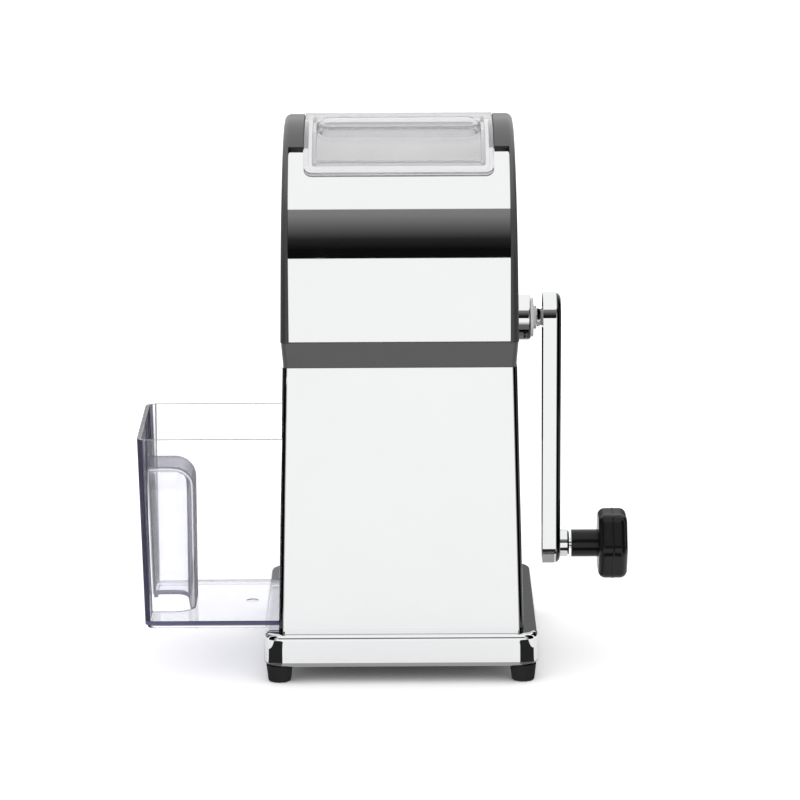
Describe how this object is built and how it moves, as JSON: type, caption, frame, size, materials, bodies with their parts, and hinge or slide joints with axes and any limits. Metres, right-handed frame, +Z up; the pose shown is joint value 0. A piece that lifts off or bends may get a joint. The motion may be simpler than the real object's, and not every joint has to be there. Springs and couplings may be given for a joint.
{
  "type": "hand crank ice crusher",
  "caption": "Upright hand crank ice crusher: ice goes in under a clear hinged lid, toothed blades crush it, and it falls into a clear pull-out drawer.",
  "frame": {"origin": "on the plane of the feet, under the middle of the whole object with its drawer pulled out and its crank hanging", "axes": "+Z up, -Y the curved front, +X towards the crank, -X towards the drawer"},
  "size_m": [0.2372, 0.138, 0.2668],
  "materials": {
    "chrome": "polished",
    "dark_plastic": "satin",
    "clear_plastic": "clear, faint violet edge",
    "pale_plastic": "satin",
    "cast_aluminium": "cast",
    "blade_steel": "brushed",
    "screw_steel": "zinc plated",
    "nylon": "satin",
    "black_plastic": "semi-gloss",
    "base_plastic": "matt",
    "rubber": "matt"
  },
  "bodies": {
    "housing": {"base": "chrome", "base_plate": "base_plastic", "foot_front_left": "rubber", "foot_rear_left": "rubber", "foot_front_right": "rubber", "foot_rear_right": "rubber", "foot_screws": "screw_steel", "lower_housing": "chrome", "drawer_guide": "pale_plastic", "collar": "dark_plastic", "hood": "dark_plastic", "front_panel": "chrome", "rear_panel": "chrome", "hopper": "pale_plastic", "crusher_frame": "cast_aluminium", "ice_chute": "pale_plastic", "frame_screws": "screw_steel", "comb": "blade_steel", "left_bush": "nylon", "crank_bush": "nylon", "crank_boss": "chrome"},
    "crank": {"crusher_shaft": "blade_steel", "shaft_clip": "screw_steel", "blade_spacers": "blade_steel", "crank_hub": "chrome", "crank_arm": "chrome", "crank_screw": "screw_steel", "knob_spindle": "screw_steel", "ferrule": "chrome", "crusher_blade_1": "blade_steel", "crusher_blade_2": "blade_steel", "crusher_blade_3": "blade_steel", "crusher_blade_4": "blade_steel", "crusher_blade_5": "blade_steel"},
    "knob": {"knob": "black_plastic", "knob_end_cap": "black_plastic"},
    "lid": {"lid": "clear_plastic", "lid_hinge_pin": "screw_steel"},
    "drawer": {"drawer": "clear_plastic"}
  },
  "joints": [
    {"name": "crank_turn", "type": "hinge", "parent": "housing", "child": "crank", "pos_m": [0.0077, -0.015, 0.1689], "axis": [1, 0, 0], "continuous": true},
    {"name": "knob_spin", "type": "hinge", "parent": "crank", "child": "knob", "pos_m": [0.10445, -0.015, 0.0556], "axis": [1, 0, 0], "continuous": true},
    {"name": "lid_open", "type": "hinge", "parent": "housing", "child": "lid", "pos_m": [0.0077, 0.022, 0.2605], "axis": [-1, 0, 0], "range_deg": [0, 100]},
    {"name": "drawer_slide", "type": "slide", "parent": "housing", "child": "drawer", "axis": [-1, 0, 0], "range_m": [-0.066, 0.05]}
  ]
}
